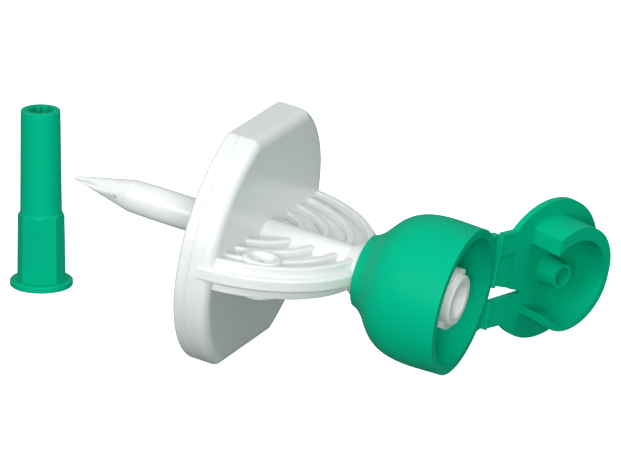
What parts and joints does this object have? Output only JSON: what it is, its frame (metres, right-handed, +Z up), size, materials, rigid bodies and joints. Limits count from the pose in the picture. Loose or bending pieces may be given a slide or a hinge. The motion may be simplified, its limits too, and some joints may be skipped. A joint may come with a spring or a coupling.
{
  "type": "vial withdrawal spike",
  "caption": "Vented vial withdrawal spike: hollow spike, oval grip plate, ribbed half-disc air filter, luer lock port in a snap collar with hinged lid, loose spike sheath.",
  "frame": {"origin": "centre of the bounding box at its base, on the surface the parts rest on", "axes": "+X along the device from the spike towards the port mouth, +Y to the lid's side, +Z up"},
  "size_m": [0.0776, 0.0448, 0.0299],
  "materials": {
    "white_plastic": "smooth glossy white moulding",
    "green_plastic": "satin green moulding",
    "membrane": "fine matt filter membrane"
  },
  "bodies": {
    "device": {"spike": "white_plastic", "port_body": "white_plastic", "wing_cover": "white_plastic", "membrane_near": "membrane", "membrane_far": "membrane", "collar": "green_plastic"},
    "lid": {"lid": "green_plastic"},
    "sheath": {"sheath": "green_plastic"}
  },
  "joints": [
    {"name": "lid_hinge", "type": "hinge", "parent": "device", "child": "lid", "pos_m": [0.02843, 0.00435, 0.00974], "axis": [0.1771, 0, 0.9842], "range_deg": [-159.5, 15]},
    {"name": "sheath_lift", "type": "slide", "parent": "device", "child": "sheath", "axis": [0, 0, 1], "range_m": [0, 0.025]}
  ]
}
